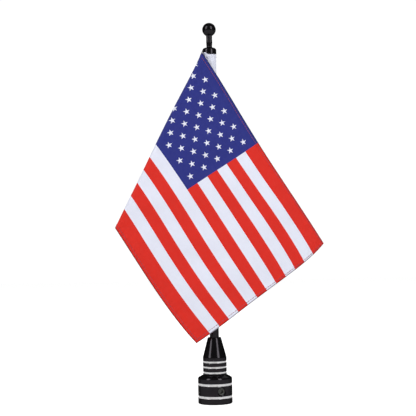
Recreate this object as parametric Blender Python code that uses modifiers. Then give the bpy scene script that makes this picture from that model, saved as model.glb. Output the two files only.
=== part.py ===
"""Small flag on a turned pole mount, in metres.

The pole stands on +Z, the underside of the base is z = 0, and the front of the flag faces -Y.
Every turned piece is a profile on +X, listed from top to bottom down its outer side.
"""

from math import atan2, comb, cos, pi, radians, sin, sqrt, tan

import bmesh
import bpy
from mathutils import Matrix, Vector

MM = 0.001
GAP = 0.0003

# Base drum, from 1 1/4 in bar
DRUM_R = 0.0159
DRUM_RIM_Z = 0.0230
SHOULDER_R = 0.0153
SHOULDER_Z = 0.0242
DRUM_TOP_R = 0.0111
DRUM_TOP_Z = 0.0264
EDGE = 0.0006
DRUM_RINGS = (0.0178, 0.0064)
DRUM_RING_H = 0.00225
RING_DEPTH = 0.0002

# Socket in the underside for a 12.7 mm post, and the tapped hole for the ferrule's spigot
SOCKET_R = 0.00645
SOCKET_DEPTH = 0.0165
SPIGOT_R = 0.0047
SPIGOT_LENGTH = 0.0072
TAPPED_FLOOR_Z = 0.0186

# Cone ferrule, the small drum and cone that hold the pole
FERRULE_R = 0.0110
FERRULE_BREAK_Z = 0.0425
BREAK_IN = 0.0004
BREAK_UP = 0.0014
FERRULE_RINGS = (0.0384, 0.0335, 0.0286)
FERRULE_RING_H = 0.0017
CONE_TOP_R = 0.0064
CONE_TOP_Z = 0.0607
POLE_SEAT_Z = 0.0330

# Pole, retaining cap and finial
POLE_R = 0.00425
POLE_TOP_Z = 0.3272
CAP_R = 0.0065
CAP_Z = 0.3241
CAP_RIM_TOP_Z = 0.3279
CAP_TOP_Z = 0.3304
CAP_BORE_DEPTH = 0.0034
BALL_R = 0.00635
BALL_Z = 0.3473
NECK_R = 0.0028
STUD_R = 0.0020
STUD_FOOT_Z = 0.3170

# Set screw, M8, on a radial axis turned to the right of the front
SCREW_Z = 0.0120
SCREW_TURN = radians(23)
SCREW_R = 0.0037
SCREW_HOLE_R = 0.0040
SCREW_MOUTH_R = 0.0050
SCREW_HOLE_START = 0.003
SCREW_INNER = 0.00795
SCREW_OUTER = 0.0140
HEX_ACROSS = 0.0040
HEX_DEPTH = 0.0032
PAD_R = 0.0026
PAD_INNER = 0.00665
PAD_THICKNESS = 0.0010
PAD_STEM_R = 0.0013
PAD_STEM_LENGTH = 0.0014

# Flag
HOIST = 0.1524
FLY = 0.2212
SLEEVE_TOP_Z = 0.3238
SLEEVE_HALF_WIDTH = 0.0064
SLEEVE_HALF_DEPTH = 0.0052
SLEEVE_WALL = 0.0005
STOP_R = 0.0066
STOP_HEIGHT = 0.0030
CLOTH = 0.0008
# Where the flat cloth is folded back: this far from the seam at the top edge, the slope below, and
# how far the fold bows away from straight
FOLD_START = 0.0017
FOLD_SLOPE = 0.582
FOLD_BOW = 0.0034
FOLD_RADIUS = 0.0040
TURN_SHARE = 0.6  # most of the cloth behind that turns round the fold
FOLD_Y = -0.0050
SEAM_X = -0.0071
SEAM_Y = -0.0010
# Hang of the front layer: Bezier net of (x, z) in mm, one row each from the hoist to the fly,
# each row from the top edge to the bottom edge
HANG = (
    ((-8.2, 326.4), (-32.8, 312.2), (-62.9, 296.4), (-93.6, 277.5), (-118.5, 258.5), (-139.5, 239.3)),
    ((12.6, 296.3), (-12.3, 284.3), (-43.1, 266.4), (-72.6, 246.9), (-94.3, 229.3), (-120.1, 208.3)),
    ((29.8, 264.1), (0.2, 249.0), (-19.8, 238.0), (-45.9, 220.4), (-68.2, 201.8), (-98.0, 178.6)),
    ((46.3, 233.0), (18.1, 213.7), (5.1, 207.4), (-25.6, 189.0), (-53.9, 167.8), (-78.1, 147.3)),
    ((65.0, 206.1), (45.3, 185.1), (24.7, 173.3), (-12.8, 153.2), (-41.5, 133.8), (-61.1, 114.0)),
    ((83.6, 177.9), (71.0, 158.3), (39.9, 139.4), (6.4, 121.6), (-13.4, 107.3), (-40.7, 82.3)),
    ((102.9, 146.0), (83.6, 124.5), (55.5, 108.9), (32.5, 93.0), (9.0, 71.8), (-16.6, 56.3)),
)
# Waves of the front layer: height, turns over the fly and the hoist, and where they reach full height
WAVE = 0.0020
WAVE_TURNS = (1.1, 0.6)
WAVE_START = 0.08
# Curl of the top edge: height, and the shares of the hoist and the fly that it fades over
TOP_CURL = 0.0050
CURL_DOWN = 0.22
CURL_ALONG = 0.5
# Faces of the cloth: rows down the hoist, and steps behind, round a quarter of the fold and ahead
CLOTH_ROWS = 14
BEHIND = 6
ROUND_FOLD = 5
AHEAD = 18

STEPS = 48
COLORS = {
    "black": ((0.012, 0.012, 0.013), 0.28, 0.9),
    "steel": ((0.03, 0.03, 0.032), 0.4, 0.9),
    "brass": ((0.62, 0.42, 0.16), 0.35, 1.0),
    "rubber": ((0.01, 0.01, 0.01), 0.8, 0.0),
    "white_cloth": ((0.86, 0.86, 0.9), 0.85, 0.0),
    "printed_cloth": ((0.72, 0.08, 0.06), 0.85, 0.0),
}


def clear_scene():
    for obj in list(bpy.data.objects):
        bpy.data.objects.remove(obj)


def make_collection(name):
    collection = bpy.data.collections.new(name)
    bpy.context.scene.collection.children.link(collection)
    return collection


def material(name):
    """The Principled material of this name, made on first use."""
    found = bpy.data.materials.get(name)
    if found:
        return found
    color, roughness, metallic = COLORS[name]
    made = bpy.data.materials.new(name)
    made.use_nodes = True
    shader = made.node_tree.nodes["Principled BSDF"]
    shader.inputs["Base Color"].default_value = (*color, 1)
    shader.inputs["Roughness"].default_value = roughness
    shader.inputs["Metallic"].default_value = metallic
    made.diffuse_color = (*color, 1)
    return made


def add_object(name, mesh, look, collection):
    mesh.materials.append(material(look))
    obj = bpy.data.objects.new(name, mesh)
    collection.objects.link(obj)
    return obj


def as_cutter(obj):
    obj.hide_render = True
    obj.display_type = "WIRE"
    return obj


def turned(name, profile, look, collection, hollow=False, steps=STEPS):
    """A profile of (radius, height) turned about the object's Z axis."""
    mesh = bpy.data.meshes.new(name)
    points = [(r, 0, z) for r, z in profile]
    edges = [(i, i + 1) for i in range(len(points) - 1)]
    if hollow:
        edges.append((len(points) - 1, 0))
    mesh.from_pydata(points, edges, [])
    obj = add_object(name, mesh, look, collection)
    screw = obj.modifiers.new("turn", "SCREW")
    screw.axis = "Z"
    screw.steps = steps
    screw.render_steps = steps
    screw.use_merge_vertices = True
    screw.merge_threshold = 0.00001
    screw.use_smooth_shade = True
    return obj


def cut(obj, cutter):
    difference = obj.modifiers.new("cut " + cutter.name, "BOOLEAN")
    difference.operation = "DIFFERENCE"
    difference.solver = "EXACT"
    difference.object = cutter


def arc(center_r, center_z, radius, start, end, count):
    """Points of an arc in the profile plane, angles in degrees from +R towards +Z."""
    turns = [radians(start + (end - start) * i / count) for i in range(count + 1)]
    return [(center_r + radius * cos(a), center_z + radius * sin(a)) for a in turns]


def grooved(radius, rings, height):
    """The outer wall's points from top to bottom, with a shallow groove at each ring."""
    points = []
    for z in rings:
        top, foot = z + height / 2, z - height / 2
        points += [(radius, top), (radius - RING_DEPTH, top - RING_DEPTH)]
        points += [(radius - RING_DEPTH, foot + RING_DEPTH), (radius, foot)]
    return points


def base_drum(parts, cutters):
    profile = [(0, TAPPED_FLOOR_Z), (SPIGOT_R + GAP, TAPPED_FLOOR_Z), (SPIGOT_R + GAP, DRUM_TOP_Z)]
    profile += [(DRUM_TOP_R, DRUM_TOP_Z), (SHOULDER_R, SHOULDER_Z), (DRUM_R, DRUM_RIM_Z)]
    profile += grooved(DRUM_R, DRUM_RINGS, DRUM_RING_H)
    profile += [(DRUM_R, EDGE), (DRUM_R - EDGE, 0), (SOCKET_R + EDGE, 0), (SOCKET_R, EDGE)]
    profile += [(SOCKET_R, SOCKET_DEPTH), (0, SOCKET_DEPTH)]
    drum = turned("base_drum", profile, "black", parts)
    chamfer = SCREW_MOUTH_R - SCREW_HOLE_R
    mouth = DRUM_R + RING_DEPTH
    hole = [(0, mouth + EDGE), (SCREW_MOUTH_R + EDGE, mouth + EDGE), (SCREW_HOLE_R, mouth - chamfer)]
    hole += [(SCREW_HOLE_R, SCREW_HOLE_START), (0, SCREW_HOLE_START)]
    cutter = as_cutter(turned("screw_hole", hole, "black", cutters, steps=36))
    cutter.matrix_world = screw_axis()
    cut(drum, cutter)


def cone_ferrule(parts):
    bore = POLE_R + GAP
    foot = DRUM_TOP_Z + GAP
    profile = [(0, POLE_SEAT_Z), (bore, POLE_SEAT_Z), (bore, CONE_TOP_Z)]
    profile += [(CONE_TOP_R - EDGE, CONE_TOP_Z), (CONE_TOP_R, CONE_TOP_Z - 1.5 * EDGE)]
    profile += [(FERRULE_R - BREAK_IN, FERRULE_BREAK_Z + BREAK_UP), (FERRULE_R, FERRULE_BREAK_Z)]
    profile += grooved(FERRULE_R, FERRULE_RINGS, FERRULE_RING_H)
    profile += [(FERRULE_R, foot), (SPIGOT_R, foot), (SPIGOT_R, foot - SPIGOT_LENGTH)]
    profile += [(0, foot - SPIGOT_LENGTH)]
    turned("cone_ferrule", profile, "black", parts)


def pole_rod(parts):
    foot = POLE_SEAT_Z + GAP
    stud_hole = STUD_R + GAP
    profile = [(0, STUD_FOOT_Z - 3 * GAP), (stud_hole, STUD_FOOT_Z - 3 * GAP)]
    profile += [(stud_hole, POLE_TOP_Z), (POLE_R - EDGE / 2, POLE_TOP_Z)]
    profile += [(POLE_R, POLE_TOP_Z - EDGE / 2), (POLE_R, foot), (0, foot)]
    turned("pole_rod", profile, "black", parts, steps=36)


def retaining_cap(parts):
    bore = POLE_R + GAP
    roof = CAP_Z + CAP_BORE_DEPTH
    stud_hole = STUD_R + GAP
    dome_r = CAP_R - NECK_R
    dome_h = CAP_TOP_Z - CAP_RIM_TOP_Z
    dome = [
        (NECK_R + dome_r * sin(radians(a)), CAP_RIM_TOP_Z + dome_h * cos(radians(a)))
        for a in range(0, 91, 15)
    ]
    profile = [(stud_hole, CAP_TOP_Z), *dome, (CAP_R, CAP_Z + EDGE / 2), (CAP_R - EDGE / 2, CAP_Z)]
    profile += [(bore, CAP_Z), (bore, roof), (stud_hole, roof)]
    turned("retaining_cap", profile, "black", parts, hollow=True, steps=36)


def finial(parts):
    neck_foot = CAP_TOP_Z + GAP
    join = BALL_Z - sqrt(BALL_R**2 - NECK_R**2)
    ball_end = -90 + 180 * atan2(NECK_R, BALL_Z - join) / pi
    profile = arc(0, BALL_Z, BALL_R, 90, ball_end, 16)
    profile[0] = (0, BALL_Z + BALL_R)
    profile += [(NECK_R, neck_foot + EDGE), (NECK_R - EDGE, neck_foot), (STUD_R, neck_foot)]
    profile += [(STUD_R, STUD_FOOT_Z + EDGE), (STUD_R - EDGE, STUD_FOOT_Z), (0, STUD_FOOT_Z)]
    turned("finial", profile, "black", parts, steps=36)


def screw_axis():
    """Frame of the set screw: its Z points out of the drum, along the tapped hole."""
    outward = Vector((sin(SCREW_TURN), -cos(SCREW_TURN), 0))
    turn = Vector((0, 0, 1)).rotation_difference(outward).to_matrix().to_4x4()
    return Matrix.Translation((0, 0, SCREW_Z)) @ turn


def set_screw(parts, cutters):
    inner, outer = SCREW_INNER, SCREW_OUTER
    socket_r = PAD_STEM_R + GAP
    socket_top = inner + PAD_STEM_LENGTH
    profile = [(0, outer), (SCREW_R - EDGE, outer), (SCREW_R, outer - EDGE)]
    profile += [(SCREW_R, inner + EDGE), (SCREW_R - EDGE, inner), (socket_r, inner)]
    profile += [(socket_r, socket_top), (0, socket_top)]
    screw = turned("set_screw", profile, "steel", parts, steps=36)
    screw.matrix_world = screw_axis()
    corner_r = HEX_ACROSS / 2 / cos(pi / 6)
    socket = [(0, outer + EDGE), (corner_r, outer + EDGE), (corner_r, outer - HEX_DEPTH)]
    socket += [(0, outer - HEX_DEPTH - corner_r * tan(radians(30)))]
    cutter = as_cutter(turned("hex_socket", socket, "steel", cutters, steps=6))
    cutter.matrix_world = screw_axis()
    cut(screw, cutter)


def set_screw_pad(parts):
    inner = PAD_INNER
    top = inner + PAD_THICKNESS
    profile = [(0, top + PAD_STEM_LENGTH), (PAD_STEM_R, top + PAD_STEM_LENGTH), (PAD_STEM_R, top)]
    profile += [(PAD_R, top), (PAD_R, inner), (0, inner)]
    pad = turned("set_screw_pad", profile, "brass", parts, steps=24)
    pad.matrix_world = screw_axis()


def stop_ring(parts):
    top = SLEEVE_TOP_Z - HOIST - GAP
    bore = POLE_R + GAP
    half = STOP_HEIGHT / 2
    outer = arc(STOP_R - half, top - half, half, 90, -90, 8)
    turned("stop_ring", [(bore, top), *outer, (bore, top - STOP_HEIGHT)], "rubber", parts, hollow=True)


def flag_sleeve(parts):
    """Flattened tube: a turned ring, scaled from round to the sleeve's depth."""
    foot = SLEEVE_TOP_Z - HOIST
    inner = SLEEVE_HALF_WIDTH - SLEEVE_WALL
    profile = [(SLEEVE_HALF_WIDTH, SLEEVE_TOP_Z), (SLEEVE_HALF_WIDTH, foot)]
    profile += [(inner, foot), (inner, SLEEVE_TOP_Z)]
    sleeve = turned("flag_sleeve", profile, "white_cloth", parts, hollow=True)
    sleeve.scale.y = SLEEVE_HALF_DEPTH / SLEEVE_HALF_WIDTH


def hang(s, t):
    """Place of the flat cloth's point on the front layer, s from the seam, t from the top edge."""
    u, v = s / FLY, t / HOIST
    along, down = len(HANG) - 1, len(HANG[0]) - 1
    x = z = 0.0
    for i, row in enumerate(HANG):
        row_share = comb(along, i) * u**i * (1 - u) ** (along - i)
        for j, place in enumerate(row):
            share = row_share * comb(down, j) * v**j * (1 - v) ** (down - j)
            x += share * place[0]
            z += share * place[1]
    return Vector((x * MM, 0, z * MM))


def fold_place(t):
    """Distance of the fold from the seam on the flat cloth, t below the top edge."""
    return FOLD_START + FOLD_SLOPE * t + FOLD_BOW * sin(pi * t / HOIST)


def front_depth(s, t):
    """Soft waves of the front layer, which grow away from the fold, and the curl of its top edge."""
    u, v = s / FLY, t / HOIST
    away = min(1, max(0, (s - fold_place(t)) / WAVE_START))
    wave = WAVE * sin(2 * pi * (WAVE_TURNS[0] * u - WAVE_TURNS[1] * v)) * away
    curl = TOP_CURL * max(0, 1 - v / CURL_DOWN) ** 2 * min(1, u / CURL_ALONG) ** 2
    return wave + curl


def folded(t, along):
    """Point of the cloth at this height; along is its distance past the fold, less than 0 behind."""
    fold_s = fold_place(t)
    quarter = FOLD_RADIUS * pi / 2
    turn = min(abs(along) / FOLD_RADIUS, pi / 2)
    reach = FOLD_RADIUS * (1 - cos(turn)) + max(0, abs(along) - quarter)
    depth = FOLD_RADIUS * sin(turn)
    if along >= 0:
        s = fold_s + reach * (FLY - fold_s) / (FLY - fold_s - quarter + FOLD_RADIUS)
        place = hang(s, t)
        place.y = FOLD_Y - depth + front_depth(s, t)
        return place
    edge = hang(fold_s, t)
    seam = Vector((SEAM_X, 0, SLEEVE_TOP_Z - t))
    toward = (seam - edge).normalized()
    place = edge + toward * reach
    place.y = FOLD_Y + depth
    seam.y = SEAM_Y
    end_turn = min(fold_s / FOLD_RADIUS, pi / 2)
    end_reach = FOLD_RADIUS * (1 - cos(end_turn)) + max(0, fold_s - quarter)
    end = edge + toward * end_reach
    end.y = FOLD_Y + FOLD_RADIUS * sin(end_turn)
    return place + (seam - end) * (abs(along) / fold_s) ** 2


def flag_cloth(parts):
    """One sheet from the seam behind, round the fold and across the front, thickened."""
    quarter = FOLD_RADIUS * pi / 2
    cloth = bmesh.new()
    grid = []
    for row in range(CLOTH_ROWS + 1):
        t = HOIST * row / CLOTH_ROWS
        fold_s = fold_place(t)
        back = min(quarter, fold_s * TURN_SHARE)
        stops = [-fold_s + (fold_s - back) * i / BEHIND for i in range(BEHIND)]
        stops += [-back + back * i / ROUND_FOLD for i in range(ROUND_FOLD)]
        stops += [quarter * i / ROUND_FOLD for i in range(ROUND_FOLD)]
        front = FLY - fold_s - quarter
        stops += [quarter + front * i / AHEAD for i in range(AHEAD + 1)]
        grid.append([cloth.verts.new(folded(t, along)) for along in stops])
    for upper, lower in zip(grid, grid[1:]):
        for i in range(len(upper) - 1):
            cloth.faces.new((upper[i], lower[i], lower[i + 1], upper[i + 1]))
    mesh = bpy.data.meshes.new("flag_cloth")
    cloth.to_mesh(mesh)
    cloth.free()
    mesh.shade_smooth()
    obj = add_object("flag_cloth", mesh, "printed_cloth", parts)
    solid = obj.modifiers.new("thickness", "SOLIDIFY")
    solid.thickness = CLOTH
    solid.offset = 0
    solid.use_even_offset = True
    solid.use_quality_normals = True


def main():
    clear_scene()
    parts = make_collection("flag on pole mount")
    cutters = make_collection("cutters")
    cutters.hide_render = True
    base_drum(parts, cutters)
    cone_ferrule(parts)
    pole_rod(parts)
    retaining_cap(parts)
    finial(parts)
    set_screw(parts, cutters)
    set_screw_pad(parts)
    stop_ring(parts)
    flag_sleeve(parts)
    flag_cloth(parts)


main()
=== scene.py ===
"""Looks of a small flag on a turned pole mount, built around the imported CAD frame, in metres.

The frame is the CAD's: the pole stands on +Z, the underside of the base is z = 0, and the front of
the flag faces -Y.
"""

from math import acos, atan2, comb, cos, exp, pi, radians, sin, sqrt, tan

import bmesh
import bpy
from mathutils import Matrix, Quaternion, Vector, noise


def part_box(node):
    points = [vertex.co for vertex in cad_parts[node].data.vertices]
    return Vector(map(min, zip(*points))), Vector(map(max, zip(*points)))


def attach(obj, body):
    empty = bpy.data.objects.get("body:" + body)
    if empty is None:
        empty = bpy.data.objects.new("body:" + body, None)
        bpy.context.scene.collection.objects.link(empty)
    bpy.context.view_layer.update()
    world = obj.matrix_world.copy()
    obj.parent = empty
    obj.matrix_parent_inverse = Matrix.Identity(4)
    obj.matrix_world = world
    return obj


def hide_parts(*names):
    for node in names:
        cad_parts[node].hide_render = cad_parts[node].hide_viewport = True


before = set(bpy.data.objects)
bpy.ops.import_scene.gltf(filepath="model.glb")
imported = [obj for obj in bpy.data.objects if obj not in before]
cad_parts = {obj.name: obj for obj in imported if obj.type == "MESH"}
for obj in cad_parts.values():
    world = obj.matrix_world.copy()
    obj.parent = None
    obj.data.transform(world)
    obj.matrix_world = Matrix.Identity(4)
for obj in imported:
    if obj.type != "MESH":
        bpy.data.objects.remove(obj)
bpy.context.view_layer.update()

MM = 0.001
GAP = 0.0003
AROUND = 144  # steps round a turned part
SHARP = radians(40)  # turned parts are shaded sharp past this angle

# Base drum and ferrule
DRUM_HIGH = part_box("base_drum")[1]
DRUM_R = DRUM_HIGH.x
DRUM_RIM_Z = 0.0230
SHOULDER_R = 0.0153
SHOULDER_Z = 0.0242
DRUM_TOP_R = 0.0111
DRUM_TOP_Z = DRUM_HIGH.z
DRUM_RINGS = (0.0178, 0.0064)
DRUM_RING_H = 0.00225
RING_DEPTH = 0.0002
SOCKET_R = 0.00645
SOCKET_DEPTH = 0.0165
SPIGOT_R = 0.0047
SPIGOT_FOOT_Z = 0.0195
TAPPED_FLOOR_Z = 0.0186
FERRULE_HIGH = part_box("cone_ferrule")[1]
FERRULE_R = FERRULE_HIGH.x
FERRULE_BREAK_Z = 0.0425
BREAK_IN = 0.0004
BREAK_UP = 0.0014
FERRULE_RINGS = (0.0384, 0.0335, 0.0286)
FERRULE_RING_H = 0.0017
CONE_TOP_R = 0.0064
CONE_TOP_Z = FERRULE_HIGH.z
POLE_SEAT_Z = 0.0330

# Pole, cap and finial
POLE_LOW, POLE_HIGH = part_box("pole_rod")
POLE_R = POLE_HIGH.x
CAP_LOW, CAP_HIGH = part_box("retaining_cap")
CAP_R = CAP_HIGH.x
CAP_RIM_TOP_Z = 0.3279
CAP_ROOF_Z = 0.3275
FINIAL_LOW, FINIAL_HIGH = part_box("finial")
BALL_R = 0.00635
BALL_Z = FINIAL_HIGH.z - BALL_R
NECK_R = 0.0028
NECK_SWELL = 0.00006
WAIST_R = 0.0026
STUD_R = 0.0020
STUD_THREAD_R = STUD_R - 0.000001  # rows at this radius are cut with the thread
STUD_ROOT_R = STUD_R - 0.0003
STUD_PITCH = 0.0007
STUD_FOOT_Z = FINIAL_LOW.z

# Set screw, on a radial axis turned to the right of the front
SCREW_Z = 0.0120
SCREW_TURN = radians(23)
SCREW_R = 0.0037
SCREW_ROOT_R = 0.00325
SCREW_PITCH = 0.00125
SCREW_MOUTH_R = 0.0050
TAPPED_R = 0.0039
TAPPED_ROOT_R = 0.00345
TAPPED_FROM_AXIS = 0.0035
THREAD_FLAT = 0.18  # share of a thread's rise that its root takes
THREAD_FLANK = 0.62  # share of it that its flank takes
SCREW_INNER = 0.00795
SCREW_OUTER = 0.0140
HEX_ACROSS = 0.0040
HEX_DEPTH = 0.0032
PAD_R = 0.0026
PAD_INNER = 0.00665
PAD_THICKNESS = 0.0010
PAD_STEM_R = 0.0013
PAD_STEM_LENGTH = 0.0014
STOP_LOW, STOP_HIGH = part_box("stop_ring")

# Flag: cut size, sleeve and fold, as in the CAD
HOIST = 0.1524
FLY = 0.2212
SLEEVE_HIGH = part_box("flag_sleeve")[1]
SLEEVE_TOP_Z = SLEEVE_HIGH.z
SLEEVE_HALF_WIDTH = SLEEVE_HIGH.x
SLEEVE_HALF_DEPTH = SLEEVE_HIGH.y
SLEEVE_INSET = 0.0003  # from the CAD's outer face to the middle of the cloth
SLEEVE_HEM = 0.0034
SLEEVE_HEM_THICKNESS = 0.00055
SLEEVE_THIN_SHARE = 0.6  # the single cloth's share of the hem's thickness
SLEEVE_STITCH_IN = 0.0026
# Where the sleeve's top edge laps over the cap's rim
LIP = 0.0016
LIP_ANGLE = radians(232)
LIP_SPREAD = 0.36
LIP_DEPTH = 0.0055
LIP_FORWARD = 1.25
# Where the flat cloth is folded back: this far from the seam at the top edge, the slope below,
# and how far the fold bows away from straight
FOLD_START = 0.0017
FOLD_SLOPE = 0.582
FOLD_BOW = 0.0034
FOLD_RADIUS = 0.0040
QUARTER = FOLD_RADIUS * pi / 2  # length of cloth in a quarter turn of the fold
TURN_SHARE = 0.6  # most of the cloth behind that turns round the fold
FOLD_Y = -0.0050
SEAM_X = -0.0071
SEAM_Y = -0.0010
# Hang of the front layer, as in the CAD: a Bezier net of (x, z) in mm, one row each from the hoist
# to the fly, each row from the top edge to the bottom edge. Its numbers are a least-squares fit to
# the stripes and stars, made by another program, and not worked out from driving dimensions.
HANG = (
    ((-8.2, 326.4), (-32.8, 312.2), (-62.9, 296.4), (-93.6, 277.5), (-118.5, 258.5), (-139.5, 239.3)),
    ((12.6, 296.3), (-12.3, 284.3), (-43.1, 266.4), (-72.6, 246.9), (-94.3, 229.3), (-120.1, 208.3)),
    ((29.8, 264.1), (0.2, 249.0), (-19.8, 238.0), (-45.9, 220.4), (-68.2, 201.8), (-98.0, 178.6)),
    ((46.3, 233.0), (18.1, 213.7), (5.1, 207.4), (-25.6, 189.0), (-53.9, 167.8), (-78.1, 147.3)),
    ((65.0, 206.1), (45.3, 185.1), (24.7, 173.3), (-12.8, 153.2), (-41.5, 133.8), (-61.1, 114.0)),
    ((83.6, 177.9), (71.0, 158.3), (39.9, 139.4), (6.4, 121.6), (-13.4, 107.3), (-40.7, 82.3)),
    ((102.9, 146.0), (83.6, 124.5), (55.5, 108.9), (32.5, 93.0), (9.0, 71.8), (-16.6, 56.3)),
)
# Waves across the front layer, and the curl of its top edge
WAVE = 0.0020
WAVE_TURNS = (1.1, 0.6)
WAVE_START = 0.08
TOP_CURL = 0.0050
CURL_DOWN = 0.22
CURL_ALONG = 0.5
# Thickness of the cloth and its hems
CLOTH = 0.00030
HEM = 0.0034
HEM_THICKNESS = 0.00066
HEM_STEP = 0.0004  # width over which a hem's inner edge falls to the single cloth
HEM_ROUND = 0.0007  # width over which its outer edge rounds off
HEM_ROUND_LEAST = 0.55
# Small relief of the front layer
TOP_PUCKER = 0.00030
TOP_PUCKER_LENGTH = 0.0062
END_PUCKER = 0.00024
END_PUCKER_LENGTH = 0.0055
PUCKER_FADE = 0.006
CREASE = 0.0016
CREASE_SCALE = (45, 30)
SLEEVE_CREASE = 0.00022
SLEEVE_PUCKER = 0.00008
SLEEVE_PUCKER_LENGTH = 0.0052
SLEEVE_FADE = 0.004
# Rows and steps of the cloth's grids
FLAG_ROWS = 88
BEHIND = 30
ROUND_FOLD = 8
AHEAD = 110
SLEEVE_ROWS = 70
SLEEVE_AROUND = 96
WEAVE_PITCH = 0.00042
WEAVE_DEPTH = 0.00006
# Stitches
STITCH_R = 0.00024
STITCH_LENGTH = 0.0023
STITCH_PITCH = 0.0025
STITCH_RINGS = 7
STITCH_AROUND = 8

# Print: stripes, star field and stars, in metres on the flat cloth
STRIPE = 0.01106
FIRST_STRIPE = 1.367
STRIPES = 13
FIELD_ALONG = 0.1035
FIELD_STRIPES = 7
STAR_ALONG = 0.00863
STAR_DOWN = 0.007566
STAR_TOP = 0.00426
STAR_COLUMNS = 11
STAR_ROWS = 9
STAR_R = 0.0032
RED = (0.70, 0.018, 0.008)
WHITE = (0.78, 0.80, 0.92)
BLUE = (0.018, 0.025, 0.215)
# painted shade multiplied over the print along the cloth's edges, where the hems round off
PAINTED_EDGE_SHADE = (0.22, 0.18, 0.20)

# Light, in watts for a softbox and as strengths for the rest
BACKDROP = 1.05
FILL = 0.32
REFLECTED = 0.07
FLOOR_GLOW = 0.72
FLOOR_HALF = 3.0
FLOOR_Z = -0.0001
LIGHT_AIM = (0, 0, 0.2)
# name, degrees right of the front, degrees up, distance, size, power
SOFTBOXES = (
    ("left softbox", -54, 32, 1.3, (0.45, 1.0), 8.2),
    ("right softbox", 39, 30, 1.3, (0.45, 1.0), 8.2),
    ("back softbox", 165, 42, 1.6, (1.2, 0.8), 5),
)

# Camera
CAMERA = (-0.0038, -1.09, 0.1556)
CAMERA_AIM = (-0.0038, 0.0, 0.1808)
CAMERA_ROLL = 1.0
CAMERA_LENS = 101.4
CAMERA_SENSOR = 36


# --- materials -------------------------------------------------------------


class Nodes:
    """Short way to write one material's nodes."""

    def __init__(self, name):
        self.material = bpy.data.materials.new(name)
        self.material.use_nodes = True
        self.tree = self.material.node_tree
        self.shader = self.tree.nodes["Principled BSDF"]

    def add(self, kind, **settings):
        node = self.tree.nodes.new("ShaderNode" + kind)
        for name, value in settings.items():
            setattr(node, name, value)
        return node

    def link(self, source, target):
        self.tree.links.new(source, target)

    def put(self, socket, value):
        if isinstance(value, bpy.types.NodeSocket):
            self.link(value, socket)
        elif isinstance(value, (tuple, list)) and socket.type == "RGBA" and len(value) == 3:
            socket.default_value = (*value, 1)
        else:
            socket.default_value = value

    def math(self, operation, a, b=0.0, c=0.0):
        node = self.add("Math", operation=operation)
        for socket, value in zip(node.inputs, (a, b, c)):
            self.put(socket, value)
        return node.outputs[0]

    def product(self, first, *others):
        for other in others:
            first = self.math("MULTIPLY", first, other)
        return first

    def mix(self, share, a, b, blend="MIX"):
        node = self.add("Mix", data_type="RGBA", blend_type=blend)
        self.put(node.inputs["Factor"], share)
        self.put(node.inputs[6], a)
        self.put(node.inputs[7], b)
        return node.outputs[2]

    def ramp(self, value, low, high, to_low=0.0, to_high=1.0):
        node = self.add("MapRange", interpolation_type="SMOOTHSTEP")
        for name, number in (
            ("Value", value),
            ("From Min", low),
            ("From Max", high),
            ("To Min", to_low),
            ("To Max", to_high),
        ):
            self.put(node.inputs[name], number)
        return node.outputs["Result"]

    def noise(self, vector, scale, detail=2.0, roughness=0.5):
        node = self.add("TexNoise")
        self.link(vector, node.inputs["Vector"])
        node.inputs["Scale"].default_value = scale
        node.inputs["Detail"].default_value = detail
        node.inputs["Roughness"].default_value = roughness
        return node.outputs["Fac"]

    def bump(self, height, distance):
        node = self.add("Bump")
        node.inputs["Strength"].default_value = 1.0
        node.inputs["Distance"].default_value = distance
        self.link(height, node.inputs["Height"])
        self.link(node.outputs["Normal"], self.shader.inputs["Normal"])

    def set(self, **values):
        names = {
            "color": "Base Color",
            "roughness": "Roughness",
            "metallic": "Metallic",
            "specular": "Specular IOR Level",
            "sheen": "Sheen Weight",
            "sheen_roughness": "Sheen Roughness",
        }
        for name, value in values.items():
            self.put(self.shader.inputs[names[name]], value)


def lathe_vector(nodes):
    """The object's own coordinates, and (distance from the axis, 0, height) of them, which is
    constant round a turned part."""
    place = nodes.add("TexCoord").outputs["Object"]
    split = nodes.add("SeparateXYZ")
    nodes.link(place, split.inputs[0])
    x, y, z = split.outputs
    squares = nodes.math("ADD", nodes.product(x, x), nodes.product(y, y))
    join = nodes.add("CombineXYZ")
    nodes.link(nodes.math("SQRT", squares), join.inputs[0])
    nodes.link(z, join.inputs[2])
    return place, join.outputs[0]


def turned_metal(
    name, color, roughness, metallic, marks=0.000004, spread=0.08, fleck=0.25, rim=1.0
):
    """Lathe-turned metal: fine rings round the axis, uneven gloss and a few fine flecks."""
    nodes = Nodes(name)
    place, lathe = lathe_vector(nodes)
    rings = nodes.noise(lathe, 9000, 3.0, 0.6)
    cloud = nodes.noise(place, 260, 3.0, 0.55)
    dust = nodes.ramp(nodes.noise(place, 2600, 2.0, 0.6), 0.66, 0.76)
    lighter = tuple(min(1, 2.2 * c + 0.01) for c in color)
    darker = tuple(0.8 * c for c in color)
    bright = nodes.mix(nodes.product(dust, fleck), color, lighter)
    shade = nodes.mix(nodes.ramp(cloud, 0.3, 0.7, 0.0, 0.35), bright, darker)
    varied = nodes.math("ADD", nodes.product(cloud, spread), roughness - spread / 2)
    varied = nodes.math("ADD", varied, nodes.product(dust, 0.06))
    nodes.set(color=shade, metallic=metallic, roughness=varied)
    nodes.shader.inputs["Specular Tint"].default_value = (rim, rim, rim, 1)
    nodes.bump(rings, marks)
    return nodes.material


def rubber():
    nodes = Nodes("rubber")
    place, _ = lathe_vector(nodes)
    cloud = nodes.noise(place, 500, 4.0, 0.6)
    nodes.set(color=nodes.mix(cloud, (0.008, 0.008, 0.009), (0.022, 0.022, 0.022)))
    nodes.set(roughness=nodes.ramp(cloud, 0.2, 0.8, 0.6, 0.82))
    nodes.bump(nodes.noise(place, 4000, 3.0, 0.7), 0.00003)
    return nodes.material


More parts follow.
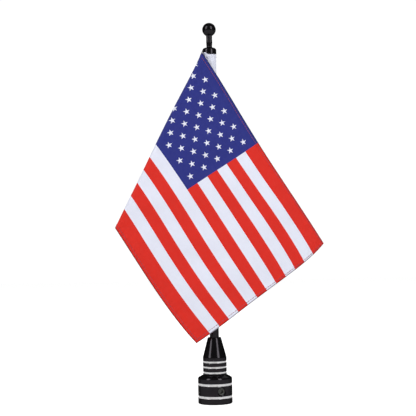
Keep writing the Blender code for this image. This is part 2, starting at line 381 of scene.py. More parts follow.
def weave(nodes, along, down):
    """Height of a plain weave at (along, down) in metres: warp and weft threads over and under."""
    a, b = (
        nodes.math("SINE", nodes.product(value, 2 * pi / WEAVE_PITCH, 0.5))
        for value in (along, down)
    )
    share = nodes.ramp(nodes.product(a, b), -0.2, 0.2)
    flip = nodes.math("SUBTRACT", 1.0, share)
    warp = nodes.product(nodes.math("ABSOLUTE", a), share)
    weft = nodes.product(nodes.math("ABSOLUTE", b), flip)
    return nodes.math("ADD", warp, weft)


def flat_place(nodes):
    """The cloth's UV map and its two coordinates, which are metres on the flat cloth."""
    uv = nodes.add("UVMap", uv_map="flat")
    split = nodes.add("SeparateXYZ")
    nodes.link(uv.outputs[0], split.inputs[0])
    return uv.outputs[0], split.outputs[0], split.outputs[1]


def cloth_finish(nodes, uv, along, down, color):
    """Thread-scale colour, sheen and weave over a cloth's colour."""
    slub = nodes.add("Mapping")
    slub.inputs["Scale"].default_value = (40, 900, 1)
    nodes.link(uv, slub.inputs["Vector"])
    threads = nodes.noise(slub.outputs[0], 8, 2.0, 0.6)
    cloud = nodes.noise(uv, 300, 3.0, 0.55)
    grain = nodes.math("ADD", nodes.product(threads, 0.10), nodes.product(cloud, 0.06))
    value = nodes.math("ADD", grain, 0.92)
    tint = nodes.add("CombineXYZ")
    for socket in tint.inputs:
        nodes.link(value, socket)
    nodes.set(color=nodes.mix(1.0, color, tint.outputs[0], "MULTIPLY"))
    nodes.set(roughness=nodes.ramp(cloud, 0.3, 0.7, 0.72, 0.84))
    nodes.set(specular=0.3, sheen=0.12, sheen_roughness=0.5)
    nodes.bump(weave(nodes, along, down), WEAVE_DEPTH)


def star_mask(nodes, along, down):
    """1 inside the field's stars, 0 elsewhere."""
    # The stars fill every other place of a grid, so they are the whole places of the turned grid,
    # and the nearest one is found there.
    column = nodes.math("DIVIDE", along, STAR_ALONG)
    row = nodes.math("DIVIDE", nodes.math("SUBTRACT", down, STAR_TOP), STAR_DOWN)
    p = nodes.math("ROUND", nodes.product(nodes.math("ADD", column, row), 0.5))
    q = nodes.math("ROUND", nodes.product(nodes.math("SUBTRACT", column, row), 0.5))
    column, row = nodes.math("ADD", p, q), nodes.math("SUBTRACT", p, q)
    there = nodes.product(
        nodes.math("GREATER_THAN", column, 0.5),
        nodes.math("LESS_THAN", column, STAR_COLUMNS + 0.5),
        nodes.math("LESS_THAN", row, STAR_ROWS + 0.5),
        nodes.math("GREATER_THAN", row, 0.5),
    )
    side = nodes.math("SUBTRACT", along, nodes.product(column, STAR_ALONG))
    up = nodes.math("SUBTRACT", nodes.math("MULTIPLY_ADD", row, STAR_DOWN, STAR_TOP), down)
    squares = nodes.math("ADD", nodes.product(side, side), nodes.product(up, up))
    reach = nodes.math("SQRT", squares)
    fifth = 2 * pi / 5
    turn = nodes.math("ADD", nodes.math("ARCTAN2", side, up), fifth / 2)
    turn = nodes.math("FLOORED_MODULO", turn, fifth)
    turn = nodes.math("ABSOLUTE", nodes.math("SUBTRACT", turn, fifth / 2))
    edge = nodes.product(reach, nodes.math("COSINE", nodes.math("SUBTRACT", turn, fifth)))
    return nodes.product(there, nodes.math("LESS_THAN", edge, STAR_R * cos(fifth)))


def printed_cloth():
    """Stripes, a field and stars printed on the flat cloth, with painted shade along its outer edges.
    """
    nodes = Nodes("printed_cloth")
    uv, along, down = flat_place(nodes)
    index = nodes.math("SUBTRACT", nodes.math("DIVIDE", down, STRIPE), FIRST_STRIPE - 1)
    index = nodes.math("MAXIMUM", nodes.math("FLOOR", index), 0.0)
    index = nodes.math("MINIMUM", index, STRIPES - 1.0)
    stripes = nodes.mix(nodes.math("FLOORED_MODULO", index, 2.0), RED, WHITE)
    in_field = nodes.product(
        nodes.math("LESS_THAN", along, FIELD_ALONG),
        nodes.math("LESS_THAN", down, STRIPE * (FIELD_STRIPES - 1 + FIRST_STRIPE)),
    )
    field = nodes.mix(star_mask(nodes, along, down), BLUE, WHITE)
    color = nodes.mix(in_field, stripes, field)
    # painted shade: the print is darkened along the top, bottom and fly edges, where the hems' folded
    # edges round off
    to_edge = nodes.math("MINIMUM", down, nodes.math("SUBTRACT", HOIST, down))
    to_edge = nodes.math("MINIMUM", to_edge, nodes.math("SUBTRACT", FLY, along))
    rim = nodes.ramp(to_edge, 0.0003, 0.0013, 0.85, 0.0)
    cloth_finish(nodes, uv, along, down, nodes.mix(rim, color, PAINTED_EDGE_SHADE, "MULTIPLY"))
    return nodes.material


def white_cloth():
    nodes = Nodes("white_cloth")
    uv, along, down = flat_place(nodes)
    cloth_finish(nodes, uv, along, down, WHITE)
    return nodes.material


def thread(name, low, high):
    """Twisted thread, between its darkest and lightest colour."""
    nodes = Nodes(name)
    place = nodes.add("TexCoord").outputs["Object"]
    twist = nodes.noise(place, 5200, 2.0, 0.5)
    nodes.set(color=nodes.mix(twist, low, high), roughness=0.6, sheen=0.2)
    nodes.bump(twist, 0.00004)
    return nodes.material


# --- mesh helpers ----------------------------------------------------------


def finish_object(name, mesh, looks, body, nodes=(), matrix=None, weighted=True):
    """The piece in the scene, riding on its body, in the place of its CAD nodes."""
    for look in looks:
        mesh.materials.append(look)
    mesh.shade_smooth()
    obj = bpy.data.objects.new(name, mesh)
    bpy.context.scene.collection.objects.link(obj)
    if matrix:
        obj.matrix_world = matrix
    if weighted:
        normals = obj.modifiers.new("face normals", "WEIGHTED_NORMAL")
        normals.keep_sharp = True
        normals.weight = 60
    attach(obj, body)
    if nodes:
        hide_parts(*nodes)
    return obj


def mesh_from(made, name):
    mesh = bpy.data.meshes.new(name)
    made.to_mesh(mesh)
    made.free()
    return mesh


def rounded(points, steps=4):
    """Profile rows (radius, height, fillet, look) as rows (radius, height, look), each fillet a
    short arc. A row's look is that of the surface after it."""
    rows = []
    for i, (r, z, fillet, look) in enumerate(points):
        if not fillet or i in (0, len(points) - 1):
            rows.append((r, z, look))
            continue
        here = Vector((r, z))
        back = Vector(points[i - 1][:2]) - here
        on = Vector(points[i + 1][:2]) - here
        half = back.angle(on) / 2
        length = min(fillet / tan(half), 0.45 * back.length, 0.45 * on.length)
        start, end = here + back.normalized() * length, here + on.normalized() * length
        for k in range(steps + 1):
            w = k / steps
            at = start * (1 - w) ** 2 + here * 2 * w * (1 - w) + end * w**2
            rows.append((at.x, at.y, look if k >= steps / 2 else points[i - 1][3]))
    return rows


def turned_mesh(name, rows, steps=AROUND, hollow=False, radius=None):
    """Rows (radius, height, look) turned about Z, from the top down the outside.
    radius(r, z, angle) may replace a row's radius, as for a thread."""
    made = bmesh.new()
    loops = []
    for r, z, _ in rows:
        if r < 1e-6:
            loops.append([made.verts.new((0, 0, z))])
            continue
        loop = []
        for i in range(steps):
            a = 2 * pi * i / steps
            at = radius(r, z, a) if radius else r
            loop.append(made.verts.new((at * cos(a), at * sin(a), z)))
        loops.append(loop)
    bands = list(zip(loops, loops[1:], rows))
    if hollow:
        bands.append((loops[-1], loops[0], rows[-1]))
    for upper, lower, row in bands:
        for i in range(steps):
            j = (i + 1) % steps
            corners = []
            for loop, k in ((upper, i), (lower, i), (lower, j), (upper, j)):
                vert = loop[k % len(loop)]
                if vert not in corners:
                    corners.append(vert)
            if len(corners) > 2:
                made.faces.new(corners).material_index = row[2]
    bmesh.ops.recalc_face_normals(made, faces=made.faces)
    return mesh_from(made, name)


def grooves(radius, rings, height, black=0, bright=1):
    """The outer wall's rows from top to bottom, with a bright-cut groove at each ring."""
    rows = []
    for z in rings:
        top, foot = z + height / 2, z - height / 2
        rows += [
            (radius, top, 0.00006, bright),
            (radius - RING_DEPTH, top - RING_DEPTH, 0.00008, bright),
            (radius - RING_DEPTH, foot + RING_DEPTH, 0.00008, bright),
            (radius, foot, 0.00006, black),
        ]
    return rows


def thread_radius(crest, root, pitch, start, end, z, angle):
    """Radius of a right-hand thread, run out to its root at both ends."""
    phase = (z / pitch - angle / (2 * pi)) % 1
    rise = 1 - abs(2 * phase - 1)
    height = min(1, max(0, (rise - THREAD_FLAT) / THREAD_FLANK))
    run_out = min(1, max(0, (z - start) / pitch), max(0, (end - z) / pitch))
    return root + (crest - root) * height * run_out


def screw_axis():
    """Frame of the set screw: its Z points out of the drum, along the tapped hole."""
    outward = Vector((sin(SCREW_TURN), -cos(SCREW_TURN), 0))
    turn = Vector((0, 0, 1)).rotation_difference(outward).to_matrix().to_4x4()
    return Matrix.Translation((0, 0, SCREW_Z)) @ turn


# --- turned parts ----------------------------------------------------------


def base_drum(looks):
    mouth = [
        (0, TAPPED_FLOOR_Z, 0, 0),
        (SPIGOT_R + GAP, TAPPED_FLOOR_Z, 0.0003, 0),
        (SPIGOT_R + GAP, DRUM_TOP_Z - 0.0004, 0, 0),
        (SPIGOT_R + GAP + 0.0004, DRUM_TOP_Z, 0, 0),
    ]
    outside = [
        (DRUM_TOP_R, DRUM_TOP_Z, 0.0004, 0),
        (SHOULDER_R, SHOULDER_Z, 0.0009, 0),
        (DRUM_R, DRUM_RIM_Z, 0.0010, 0),
        *grooves(DRUM_R, DRUM_RINGS, DRUM_RING_H),
        (DRUM_R, 0.0006, 0.0005, 0),
        (DRUM_R - 0.0006, 0, 0.0005, 0),
        (SOCKET_R + 0.0006, 0, 0.0002, 0),
        (SOCKET_R, 0.0006, 0.0002, 0),
        (SOCKET_R, SOCKET_DEPTH, 0.0004, 0),
        (0, SOCKET_DEPTH, 0, 0),
    ]
    mesh = turned_mesh("drum_body", rounded(mouth + outside))
    drum = finish_object(
        "drum_body", mesh, looks, "base", ["base_drum"], weighted=False
    )
    cutter = tapped_hole(looks[0])
    cut = drum.modifiers.new("tapped hole", "BOOLEAN")
    cut.operation = "DIFFERENCE"
    cut.solver = "EXACT"
    cut.object = cutter
    bpy.context.view_layer.update()
    graph = bpy.context.evaluated_depsgraph_get()
    result = bpy.data.meshes.new_from_object(drum.evaluated_get(graph), depsgraph=graph)
    drum.modifiers.clear()
    drum.data = result
    result.name = "drum_body"
    result.set_sharp_from_angle(angle=radians(38))
    bpy.data.objects.remove(cutter)
    normals = drum.modifiers.new("face normals", "WEIGHTED_NORMAL")
    normals.keep_sharp = True


def tapped_hole(look):
    """The cutter for the set screw's hole, which has a thread and a countersunk mouth."""
    surface = DRUM_R + 0.0002
    start, step = surface - 0.0010, SCREW_PITCH / 10
    rows = [(0, surface + 0.0006, 0), (SCREW_MOUTH_R + 0.0008, surface + 0.0006, 0)]
    rows += [(TAPPED_R + 0.0001, start, 0)]
    z = start
    while z > TAPPED_FROM_AXIS:
        z -= step
        rows.append((TAPPED_R, z, 0))
    rows += [(0, z, 0)]

    def tapped(r, z, angle):
        if r != TAPPED_R:
            return r
        return thread_radius(TAPPED_R, TAPPED_ROOT_R, SCREW_PITCH, 0, start, z, angle)

    mesh = turned_mesh("tapped_hole", rows, 72, radius=tapped)
    mesh.materials.append(look)
    cutter = bpy.data.objects.new("tapped_hole", mesh)
    bpy.context.scene.collection.objects.link(cutter)
    cutter.matrix_world = screw_axis()
    return cutter


def cone_ferrule(looks):
    bore = POLE_R + GAP
    foot = DRUM_TOP_Z + GAP
    rows = [
        (0, POLE_SEAT_Z, 0, 0),
        (bore, POLE_SEAT_Z, 0.0002, 0),
        (bore, CONE_TOP_Z - 0.0003, 0, 0),
        (bore + 0.0003, CONE_TOP_Z, 0, 0),
        (CONE_TOP_R - 0.0003, CONE_TOP_Z, 0.0004, 0),
        (CONE_TOP_R, CONE_TOP_Z - 0.0009, 0.0008, 0),
        (FERRULE_R - BREAK_IN, FERRULE_BREAK_Z + BREAK_UP, 0.0030, 0),
        (FERRULE_R, FERRULE_BREAK_Z, 0.0030, 0),
        *grooves(FERRULE_R, FERRULE_RINGS, FERRULE_RING_H),
        (FERRULE_R, foot, 0.0002, 0),
        (SPIGOT_R, foot, 0.0001, 0),
        (SPIGOT_R, SPIGOT_FOOT_Z + 0.0004, 0.0, 0),
        (SPIGOT_R - 0.0004, SPIGOT_FOOT_Z, 0.0, 0),
        (0, SPIGOT_FOOT_Z, 0, 0),
    ]
    mesh = turned_mesh("ferrule_body", rounded(rows, 6))
    mesh.set_sharp_from_angle(angle=SHARP)
    finish_object("ferrule_body", mesh, looks, "base", ["cone_ferrule"])


def pole(looks):
    foot = POLE_LOW.z
    stud_hole = STUD_R + GAP
    rows = [
        (0, STUD_FOOT_Z - 3 * GAP, 0, 0),
        (stud_hole, STUD_FOOT_Z - 3 * GAP, 0.0003, 0),
        (stud_hole, POLE_HIGH.z - 0.0004, 0, 0),
        (stud_hole + 0.0004, POLE_HIGH.z, 0, 0),
        (POLE_R - 0.0003, POLE_HIGH.z, 0.0001, 0),
        (POLE_R, POLE_HIGH.z - 0.0004, 0.0002, 0),
        (POLE_R, foot + 0.0003, 0, 0),
        (POLE_R - 0.0003, foot, 0, 0),
        (0, foot, 0, 0),
    ]
    mesh = turned_mesh("pole_tube", rounded(rows), 96)
    mesh.set_sharp_from_angle(angle=SHARP)
    finish_object("pole_tube", mesh, looks, "base", ["pole_rod"])


def cap(looks):
    bore = POLE_R + GAP
    stud_hole = STUD_R + GAP
    dome_r = CAP_R - NECK_R
    dome_h = CAP_HIGH.z - CAP_RIM_TOP_Z
    rows = [(stud_hole, CAP_HIGH.z - 0.0002, 0, 0), (stud_hole + 0.0002, CAP_HIGH.z, 0, 0)]
    rows += [(NECK_R, CAP_HIGH.z, 0.0003, 0)]
    rows += [
        (NECK_R + dome_r * sin(radians(a)), CAP_RIM_TOP_Z + dome_h * cos(radians(a)), 0, 0)
        for a in range(8, 89, 8)
    ]
    rows += [
        (CAP_R, CAP_RIM_TOP_Z - 0.0002, 0, 0),
        (CAP_R, CAP_LOW.z + 0.0003, 0.0003, 0),
        (CAP_R - 0.0003, CAP_LOW.z, 0.0002, 0),
        (bore + 0.0003, CAP_LOW.z, 0, 0),
        (bore, CAP_LOW.z + 0.0003, 0, 0),
        (bore, CAP_ROOF_Z, 0.0002, 0),
        (stud_hole, CAP_ROOF_Z, 0, 0),
    ]
    mesh = turned_mesh("cap_body", rounded(rows), 112, hollow=True)
    mesh.set_sharp_from_angle(angle=SHARP)
    finish_object("cap_body", mesh, looks, "cap", ["retaining_cap"])


def finial(looks):
    neck_foot = CAP_HIGH.z + GAP
    top_turn = 90
    join_turn = -90 + 180 * atan2(NECK_R, sqrt(BALL_R**2 - NECK_R**2)) / pi
    count = 48
    ball = []
    for i in range(count + 1):
        a = radians(top_turn + (join_turn - top_turn) * i / count)
        ball.append((BALL_R * cos(a) if i else 0, BALL_Z + BALL_R * sin(a), 0, 0))
    ball[-1] = (ball[-1][0], ball[-1][1], 0.0009, 0)
    middle = (ball[-1][1] + neck_foot) / 2
    rows = ball + [
        (NECK_R - NECK_SWELL, middle + 0.0020, 0.004, 0),
        (NECK_R + NECK_SWELL, middle - 0.0010, 0.004, 0),
        (WAIST_R, neck_foot + 0.0009, 0.0008, 0),
        (NECK_R - 0.0001, neck_foot + 0.0002, 0.0002, 0),
        (NECK_R - 0.0002, neck_foot, 0.0001, 0),
        (STUD_R, neck_foot, 0, 1),
    ]
    smooth = rounded(rows, 6)
    top, foot = neck_foot - 0.0006, STUD_FOOT_Z + 0.0004
    smooth += [(STUD_ROOT_R, neck_foot - 0.0003, 1)]
    steps = int((top - foot) / (STUD_PITCH / 8))
    smooth += [(STUD_THREAD_R, top - (top - foot) * i / steps, 1) for i in range(steps + 1)]
    smooth += [(STUD_R - 0.0006, STUD_FOOT_Z, 1), (0, STUD_FOOT_Z, 1)]

    def cut_thread(r, z, angle):
        if r != STUD_THREAD_R:
            return r
        run_out = foot - STUD_PITCH / 2
        return thread_radius(STUD_R, STUD_ROOT_R, STUD_PITCH, run_out, top, z, angle)

    mesh = turned_mesh("ball_finial", smooth, 96, radius=cut_thread)
    mesh.set_sharp_from_angle(angle=radians(50))
    finish_object("ball_finial", mesh, looks, "finial", ["finial"])


def set_screw(looks):
    """Threaded screw, with a hexagon socket in its outer end and a socket for the pad's stem in
    its inner end."""
    inner, outer = SCREW_INNER, SCREW_OUTER
    socket_r = PAD_STEM_R + GAP
    flat_r = HEX_ACROSS / 2  # rows at this radius follow the hexagon
    corner = flat_r / cos(pi / 6)

    def shape(r, z, angle):
        if r == SCREW_R:
            ends = inner - 0.0003, outer + 0.0002
            return thread_radius(SCREW_R, SCREW_ROOT_R, SCREW_PITCH, *ends, z, angle)
        if r == flat_r:
            return flat_r / cos(angle % (pi / 3) - pi / 6)
        return r

    floor = outer - HEX_DEPTH
    rows = [
        (0, floor - corner * tan(radians(30)), 0),
        (flat_r, floor, 0),
        (flat_r, outer - 0.00035, 0),
        (corner + 0.00035, outer, 0),
        (SCREW_ROOT_R - 0.0003, outer, 0),
        (SCREW_ROOT_R + 0.00005, outer - 0.0003, 0),
    ]
    top, foot = outer - 0.0004, inner + 0.0004
    count = int((top - foot) / (SCREW_PITCH / 12))
    rows += [(SCREW_R, top - (top - foot) * i / count, 0) for i in range(count + 1)]
    rows += [
        (SCREW_ROOT_R - 0.0002, inner, 0),
        (socket_r + 0.0002, inner, 0),
        (socket_r, inner + 0.0002, 0),
        (socket_r, inner + PAD_STEM_LENGTH, 0),
        (0, inner + PAD_STEM_LENGTH, 0),
    ]
    mesh = turned_mesh("grub_screw", rows, 72, radius=shape)
    mesh.set_sharp_from_angle(angle=radians(35))
    axis = screw_axis()
    finish_object("grub_screw", mesh, looks, "screw", ["set_screw"], matrix=axis)


def set_screw_pad(looks):
    inner, top = PAD_INNER, PAD_INNER + PAD_THICKNESS
    rows = [
        (0, top + PAD_STEM_LENGTH, 0, 0),
        (PAD_STEM_R, top + PAD_STEM_LENGTH, 0.0003, 0),
        (PAD_STEM_R, top, 0.0001, 0),
        (PAD_R, top, 0.0002, 0),
        (PAD_R, inner, 0.0002, 0),
        (0, inner, 0, 0),
    ]
    mesh = turned_mesh("grub_pad", rounded(rows), 64)
    axis = screw_axis()
    finish_object("grub_pad", mesh, looks, "pad", ["set_screw_pad"], matrix=axis)


def stop_ring(looks):
    """Rubber collar: a bulged ring with a moulding line round its middle."""
    outer_r = STOP_HIGH.x
    bore = POLE_R + GAP
    top, foot = STOP_HIGH.z, STOP_LOW.z
    half = (top - foot) / 2
    middle = (top + foot) / 2
    rows = [(bore, top - 0.0002, 0), (bore + 0.0002, top, 0)]
    for i in range(25):
        turn = 90 - 180 * i / 24
        a = radians(turn)
        line = 0.00008 * exp(-((turn / 6) ** 2))
        rows.append((outer_r - half + (half - 0.0001) * cos(a) + line, middle + half * sin(a), 0))
    rows += [(bore + 0.0002, foot, 0), (bore, foot + 0.0002, 0)]
    mesh = turned_mesh("collar_ring", rows, 96, hollow=True)
    finish_object("collar_ring", mesh, looks, "stop", ["stop_ring"])


# --- flag ------------------------------------------------------------------


def hang(s, t):
    """Place of the flat cloth's point on the front layer, s from the seam, t from the top edge."""
    u, v = s / FLY, t / HOIST
    last, low = len(HANG) - 1, len(HANG[0]) - 1
    x = z = 0.0
    for i, row in enumerate(HANG):
        across = comb(last, i) * u**i * (1 - u) ** (last - i)
        for j, place in enumerate(row):
            share = across * comb(low, j) * v**j * (1 - v) ** (low - j)
            x += share * place[0]
            z += share * place[1]
    return Vector((x * MM, 0, z * MM))


def fold_place(t):
    """Distance of the fold from the seam on the flat cloth, t below the top edge."""
    return FOLD_START + FOLD_SLOPE * t + FOLD_BOW * sin(pi * t / HOIST)


def front_depth(s, t):
    """Soft waves of the front layer, which grow away from the fold, and its top edge's curl."""
    u, v = s / FLY, t / HOIST
    away = min(1, max(0, (s - fold_place(t)) / WAVE_START))
    wave = WAVE * sin(2 * pi * (WAVE_TURNS[0] * u - WAVE_TURNS[1] * v)) * away
    curl = TOP_CURL * max(0, 1 - v / CURL_DOWN) ** 2 * min(1, u / CURL_ALONG) ** 2
    return wave + curl


def reach_of(along):
    """(distance from the fold's edge, depth) of a point this far along the cloth from the fold."""
    turn = min(abs(along) / FOLD_RADIUS, pi / 2)
    return FOLD_RADIUS * (1 - cos(turn)) + max(0, abs(along) - QUARTER), FOLD_RADIUS * sin(turn)


def flat_s(t, along):
    """Distance from the seam on the flat cloth."""
    fold_s = fold_place(t)
    if along < 0:
        return fold_s + along
    reach, _ = reach_of(along)
    return fold_s + reach * (FLY - fold_s) / (FLY - fold_s - QUARTER + FOLD_RADIUS)


def folded(t, along):
    """Point of the cloth t below the top edge, this far along past the fold, or behind if < 0."""
    fold_s = fold_place(t)
    reach, depth = reach_of(along)
    if along >= 0:
        s = flat_s(t, along)
        place = hang(s, t)
        place.y = FOLD_Y - depth + front_depth(s, t) + creases(s, t)
        return place
    edge = hang(fold_s, t)
    seam = Vector((SEAM_X, 0, SLEEVE_TOP_Z - t))
    toward = (seam - edge).normalized()
    place = edge + toward * reach
    place.y = FOLD_Y + depth
    seam.y = SEAM_Y
    end_reach, end_depth = reach_of(fold_s)
    end = edge + toward * end_reach
    end.y = FOLD_Y + end_depth
    return place + (seam - end) * (abs(along) / fold_s) ** 2


def creases(s, t):
    """Small relief: puckers along the stitched hems and faint creases between."""
    inset = min(t, HOIST - t)
    end = FLY - s
    drift = 3 * noise.noise(Vector((s * 60, t * 20, 0)))
    pucker = sin(2 * pi * s / TOP_PUCKER_LENGTH + drift)
    relief = TOP_PUCKER * pucker * exp(-inset / PUCKER_FADE)
    drift = 3 * noise.noise(Vector((s * 20, t * 60, 5)))
    pucker = sin(2 * pi * t / END_PUCKER_LENGTH + drift)
    relief += END_PUCKER * pucker * exp(-end / PUCKER_FADE)
    soft = noise.noise(Vector((s * CREASE_SCALE[0], t * CREASE_SCALE[1], 2.0)))
    return relief + CREASE * soft * min(1, inset / 0.01)


def spaced(low, high, count):
    return [low + (high - low) * i / count for i in range(count + 1)]


EDGE_STOPS = (0.0, 0.00025, 0.0007, 0.0014, 0.0022, 0.0028)
EDGE_STOPS += (HEM - 0.0003, HEM, HEM + 0.0003, HEM + 0.0009)
HEM_END = HEM + 0.0020


def across_stops(t):
    """Distances past the fold of the grid's points on the row t below the top edge."""
    fold_s = fold_place(t)
    back = min(QUARTER, fold_s * TURN_SHARE)
    stops = [-fold_s + (fold_s - back) * i / BEHIND for i in range(BEHIND)]
    stops += [-back + back * i / ROUND_FOLD for i in range(ROUND_FOLD)]
    stops += [QUARTER * i / ROUND_FOLD for i in range(ROUND_FOLD)]
    stops += spaced(QUARTER, FLY - fold_s - HEM_END, AHEAD)
    stops += [FLY - fold_s - d for d in reversed(EDGE_STOPS)]
    return stops


def flag_sheet(look):
    """The flag: one sheet from its seam, behind, round the fold and across the front."""
    rows = list(EDGE_STOPS)
    rows += spaced(HEM_END, HOIST - HEM_END, FLAG_ROWS)
    rows += [HOIST - d for d in reversed(EDGE_STOPS)]
    made = bmesh.new()
    flat = made.loops.layers.uv.new("flat")
    weight = made.verts.layers.deform.new()
    grid, place_of = [], {}
    for t in rows:
        line = []
        for along in across_stops(t):
            vert = made.verts.new(folded(t, along))
            s = flat_s(t, along)
            place_of[vert] = (s, t)
            inset = min(t, HOIST - t, FLY - s)
            hem = 1 - min(1, max(0, (inset - HEM + HEM_STEP / 2) / HEM_STEP))
            edge = HEM_ROUND_LEAST + (1 - HEM_ROUND_LEAST) * min(1, inset / HEM_ROUND)
            vert[weight][0] = hem * edge
            line.append(vert)
        grid.append(line)
    for upper, lower in zip(grid, grid[1:]):
        for i in range(len(upper) - 1):
            face = made.faces.new((upper[i], lower[i], lower[i + 1], upper[i + 1]))
            for loop in face.loops:
                loop[flat].uv = place_of[loop.vert]
    mesh = mesh_from(made, "flag_sheet")
    obj = finish_object(
        "flag_sheet", mesh, [look], "flag", ["flag_cloth"], weighted=False
    )
    thicken(obj, HEM_THICKNESS, CLOTH / HEM_THICKNESS)
    obj.modifiers["thickness"].use_even_offset = True
    return obj


def thicken(obj, thickness, thin_share):
    """Gives a sheet its thickness: all of it in the hems, thin_share of it elsewhere."""
    obj.vertex_groups.new(name="hem")
    solid = obj.modifiers.new("thickness", "SOLIDIFY")
    solid.thickness = thickness
    solid.vertex_group = "hem"
    solid.thickness_vertex_group = thin_share
    solid.offset = 0


def stitch_marks(row):
    """(middle, outward normal, direction) of each stitch along a row of (place, normal)."""
    marks, travelled, due = [], 0.0, STITCH_PITCH / 2
    for (a, na), (b, nb) in zip(row, row[1:]):
        span = (b - a).length
        while due <= travelled + span and span > 0:
            w = (due - travelled) / span
            marks.append((a.lerp(b, w), na.lerp(nb, w).normalized(), (b - a).normalized()))
            due += STITCH_PITCH
        travelled += span
    return marks


def stitches(name, rows, look, body):
    """Rows of thread on a surface. Each row is a list of (place, outward normal)."""
    made = bmesh.new()
    turns = [2 * pi * i / STITCH_AROUND for i in range(STITCH_AROUND)]
    for place, normal, along in (mark for row in rows for mark in stitch_marks(row)):
        side = normal.cross(along).normalized()
        rings = []
        for k in range(STITCH_RINGS):
            w = k / (STITCH_RINGS - 1)
            lift = STITCH_R * 0.9 * sin(pi * w) - STITCH_R * 0.55
            thick = STITCH_R * (0.45 + 0.55 * sin(pi * w))
            centre = place + along * (w - 0.5) * STITCH_LENGTH + normal * lift
            rings.append(
                [made.verts.new(centre + (side * cos(a) + normal * sin(a)) * thick) for a in turns]
            )
        for first, second in zip(rings, rings[1:]):
            for i in range(STITCH_AROUND):
                j = (i + 1) % STITCH_AROUND
                made.faces.new((first[i], first[j], second[j], second[i]))
        made.faces.new(list(reversed(rings[0])))
        made.faces.new(rings[-1])
    bmesh.ops.recalc_face_normals(made, faces=made.faces)
    return finish_object(name, mesh_from(made, name), [look], body, weighted=False)


def along_of(s, t):
    """How far past the fold a point of the flat cloth lies."""
    fold_s = fold_place(t)
    if s < fold_s:
        return s - fold_s
    reach = (s - fold_s) * (FLY - fold_s - QUARTER + FOLD_RADIUS) / (FLY - fold_s)
    if reach < FOLD_RADIUS:
        return FOLD_RADIUS * acos(1 - reach / FOLD_RADIUS)
    return reach - FOLD_RADIUS + QUARTER


def surface_point(s, t, face):
    """Place on a hem's printed face (face 1) or its other face (-1), with the normal there."""
    step = 0.0004
    along = along_of(s, t)
    over, under = max(0, t - step), min(HOIST, t + step)
    a, b = folded(t, along - step), folded(t, along + step)
    c, d = folded(over, along_of(s, over)), folded(under, along_of(s, under))
    normal = (d - c).cross(b - a).normalized() * face
    return folded(t, along) + normal * HEM_THICKNESS / 2, normal


def hem_lines():
    """The stitch rows of the three hems, on both faces."""
    rows = []
    for face in (1, -1):
        top, bottom, end = [], [], []
        for i in range(241):
            w = i / 240
            inset = 0.0030 - 0.0014 * w
            top.append(surface_point(0.006 + (FLY - 0.008) * w, inset, face))
            bottom.append(surface_point(0.002 + (FLY - 0.004) * w, HOIST - 0.0028, face))
        for i in range(161):
            w = i / 160
            t = 0.0012 + (HOIST - 0.0024) * w
            end.append(surface_point(FLY - 0.0018 - 0.0013 * w, t, face))
        rows += [top, bottom, end]
    return rows


def sleeve_place(a, t, slack=0.0):
    """Point of the sleeve's outer face at angle a, t below its top. Its top edge laps over the
    cap's rim in front, on the left."""
    off = (a - LIP_ANGLE) / LIP_SPREAD
    lip = LIP * exp(-off * off) * max(0, 1 - t / LIP_DEPTH) ** 1.5
    x = (SLEEVE_HALF_WIDTH + slack + lip) * cos(a)
    y = (SLEEVE_HALF_DEPTH + slack + LIP_FORWARD * lip) * sin(a)
    return Vector((x, y, SLEEVE_TOP_Z - t + lip))


def sleeve(look):
    """Sewn tube that holds the flag on the pole, a little uneven, with a hem at each end."""
    made = bmesh.new()
    flat = made.loops.layers.uv.new("flat")
    weight = made.verts.layers.deform.new()
    ends = [0, 0.0002, 0.0006, 0.0014, 0.0030, 0.0034, 0.0038, 0.0046]
    middle = spaced(0.006, HOIST - 0.006, SLEEVE_ROWS)
    downs = ends + middle + [HOIST - h for h in reversed(ends)]
    girth = 2 * pi * sqrt((SLEEVE_HALF_WIDTH**2 + SLEEVE_HALF_DEPTH**2) / 2)
    grid = []
    for t in downs:
        line = []
        for i in range(SLEEVE_AROUND):
            a = 2 * pi * i / SLEEVE_AROUND
            slack = SLEEVE_CREASE * noise.noise(Vector((3 * cos(a), 3 * sin(a), t * 60)))
            slack += SLEEVE_PUCKER * sin(2 * pi * t / SLEEVE_PUCKER_LENGTH + 2 * cos(a))
            slack *= min(1, t / SLEEVE_FADE, (HOIST - t) / SLEEVE_FADE)
            vert = made.verts.new(sleeve_place(a, t, slack - SLEEVE_INSET))
            vert[weight][0] = 1.0 if min(t, HOIST - t) < SLEEVE_HEM else 0.0
            line.append(vert)
        grid.append(line)
    for (upper, lower), (t0, t1) in zip(zip(grid, grid[1:]), zip(downs, downs[1:])):
        for i in range(SLEEVE_AROUND):
            j = (i + 1) % SLEEVE_AROUND
            face = made.faces.new((upper[i], lower[i], lower[j], upper[j]))
            s0, s1 = girth * i / SLEEVE_AROUND, girth * (i + 1) / SLEEVE_AROUND
            for loop, uv in zip(face.loops, ((s0, t0), (s0, t1), (s1, t1), (s1, t0))):
                loop[flat].uv = uv
    bmesh.ops.recalc_face_normals(made, faces=made.faces)
    mesh = mesh_from(made, "sleeve_tube")
    obj = finish_object(
        "sleeve_tube", mesh, [look], "flag", ["flag_sleeve"], weighted=False
    )
    thicken(obj, SLEEVE_HEM_THICKNESS, SLEEVE_THIN_SHARE)
    return obj, girth


def sleeve_lines():
    """The stitch rows of the sleeve, round its two hems."""
    rows = []
    for t in (SLEEVE_STITCH_IN, HOIST - SLEEVE_STITCH_IN):
        row = []
        for i in range(SLEEVE_AROUND + 1):
            a = 2 * pi * i / SLEEVE_AROUND
            outward = Vector((cos(a) / SLEEVE_HALF_WIDTH, sin(a) / SLEEVE_HALF_DEPTH, 0))
            row.append((sleeve_place(a, t), outward.normalized()))
        rows.append(row)
    return rows


# --- stage -----------------------------------------------------------------


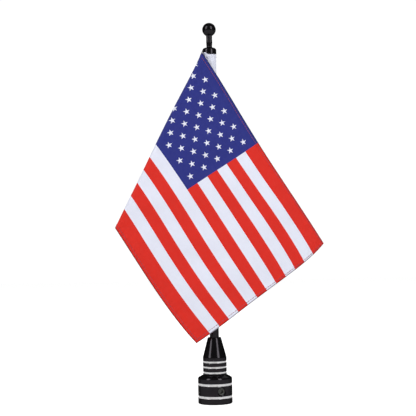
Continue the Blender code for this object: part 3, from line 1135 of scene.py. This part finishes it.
def softbox(name, azimuth, elevation, distance, size, power):
    """Softbox at this azimuth to the right of the front, in degrees."""
    data = bpy.data.lights.new(name, "AREA")
    data.shape = "RECTANGLE"
    data.size, data.size_y = size
    data.energy = power
    light = bpy.data.objects.new(name, data)
    a, e = radians(azimuth), radians(elevation)
    offset = Vector((sin(a) * cos(e), -cos(a) * cos(e), sin(e))) * distance
    light.location = Vector(LIGHT_AIM) + offset
    light.rotation_mode = "QUATERNION"
    light.rotation_quaternion = offset.to_track_quat("Z", "Y")
    bpy.context.scene.collection.objects.link(light)


def studio_world():
    """White all round: dim to reflections, so that the black parts stay black."""
    world = bpy.data.worlds.new("studio")
    bpy.context.scene.world = world
    world.use_nodes = True
    tree = world.node_tree
    sky = tree.nodes["Background"]
    path = tree.nodes.new("ShaderNodeLightPath")

    def choose(ray, otherwise, seen):
        node = tree.nodes.new("ShaderNodeMix")
        node.data_type = "FLOAT"
        tree.links.new(path.outputs[ray], node.inputs[0])
        if isinstance(otherwise, bpy.types.NodeSocket):
            tree.links.new(otherwise, node.inputs[2])
        else:
            node.inputs[2].default_value = otherwise
        node.inputs[3].default_value = seen
        return node.outputs[0]

    strength = choose("Is Camera Ray", choose("Is Glossy Ray", FILL, REFLECTED), BACKDROP)
    sky.inputs["Color"].default_value = (1, 1, 1, 1)
    tree.links.new(strength, sky.inputs["Strength"])


def stage():
    bpy.context.scene.view_settings.view_transform = "Standard"
    studio_world()
    mesh = bpy.data.meshes.new("floor")
    corners = [(-1, -1), (1, -1), (1, 1), (-1, 1)]
    places = [(x * FLOOR_HALF, y * FLOOR_HALF, 0) for x, y in corners]
    mesh.from_pydata(places, [], [(0, 1, 2, 3)])
    floor = bpy.data.objects.new("floor", mesh)
    floor.location.z = FLOOR_Z
    bpy.context.scene.collection.objects.link(floor)
    nodes = Nodes("floor")
    place = nodes.add("TexCoord").outputs["Object"]
    grain = nodes.noise(place, 60, 2.0)
    nodes.set(color=nodes.mix(grain, (0.86, 0.86, 0.86), (0.88, 0.88, 0.88)), roughness=0.9)
    nodes.shader.inputs["Emission Color"].default_value = (1, 1, 1, 1)
    seen = nodes.add("LightPath").outputs["Is Camera Ray"]
    nodes.link(nodes.product(seen, FLOOR_GLOW), nodes.shader.inputs["Emission Strength"])
    mesh.materials.append(nodes.material)
    for box in SOFTBOXES:
        softbox(*box)


def camera():
    data = bpy.data.cameras.new("camera")
    data.lens = CAMERA_LENS
    data.sensor_width = CAMERA_SENSOR
    obj = bpy.data.objects.new("camera", data)
    bpy.context.scene.collection.objects.link(obj)
    obj.location = CAMERA
    look = (Vector(CAMERA_AIM) - Vector(CAMERA)).normalized()
    obj.rotation_mode = "QUATERNION"
    obj.rotation_quaternion = Quaternion(look, radians(CAMERA_ROLL)) @ look.to_track_quat("-Z", "Y")
    bpy.context.scene.camera = obj


def main():
    camera()
    stage()
    anodised = (0.025, 0.023, 0.026)
    black = turned_metal("black_anodised", anodised, 0.13, 0.85, spread=0.05, rim=0.15)
    bright = turned_metal("bright_cut", (0.90, 0.90, 0.91), 0.26, 1.0, marks=0.000006, fleck=0.0)
    steel = turned_metal("black_steel", (0.13, 0.135, 0.125), 0.38, 0.9)
    zinc = turned_metal("plain_steel", (0.55, 0.55, 0.56), 0.30, 1.0)
    brass = turned_metal("brass", (0.62, 0.42, 0.16), 0.30, 1.0)
    base_drum([black, bright])
    cone_ferrule([black, bright])
    pole([black])
    cap([black])
    finial([black, zinc])
    set_screw([steel])
    set_screw_pad([brass])
    stop_ring([rubber()])
    red_thread = thread("red_thread", (0.22, 0.02, 0.05), (0.34, 0.05, 0.09))
    white_thread = thread("white_thread", (0.70, 0.71, 0.80), (0.82, 0.83, 0.92))
    flag = flag_sheet(printed_cloth())
    hems = stitches("hem_stitches", hem_lines(), red_thread, "flag")
    tube, girth = sleeve(white_cloth())
    ends = stitches("sleeve_stitches", sleeve_lines(), white_thread, "flag")


main()
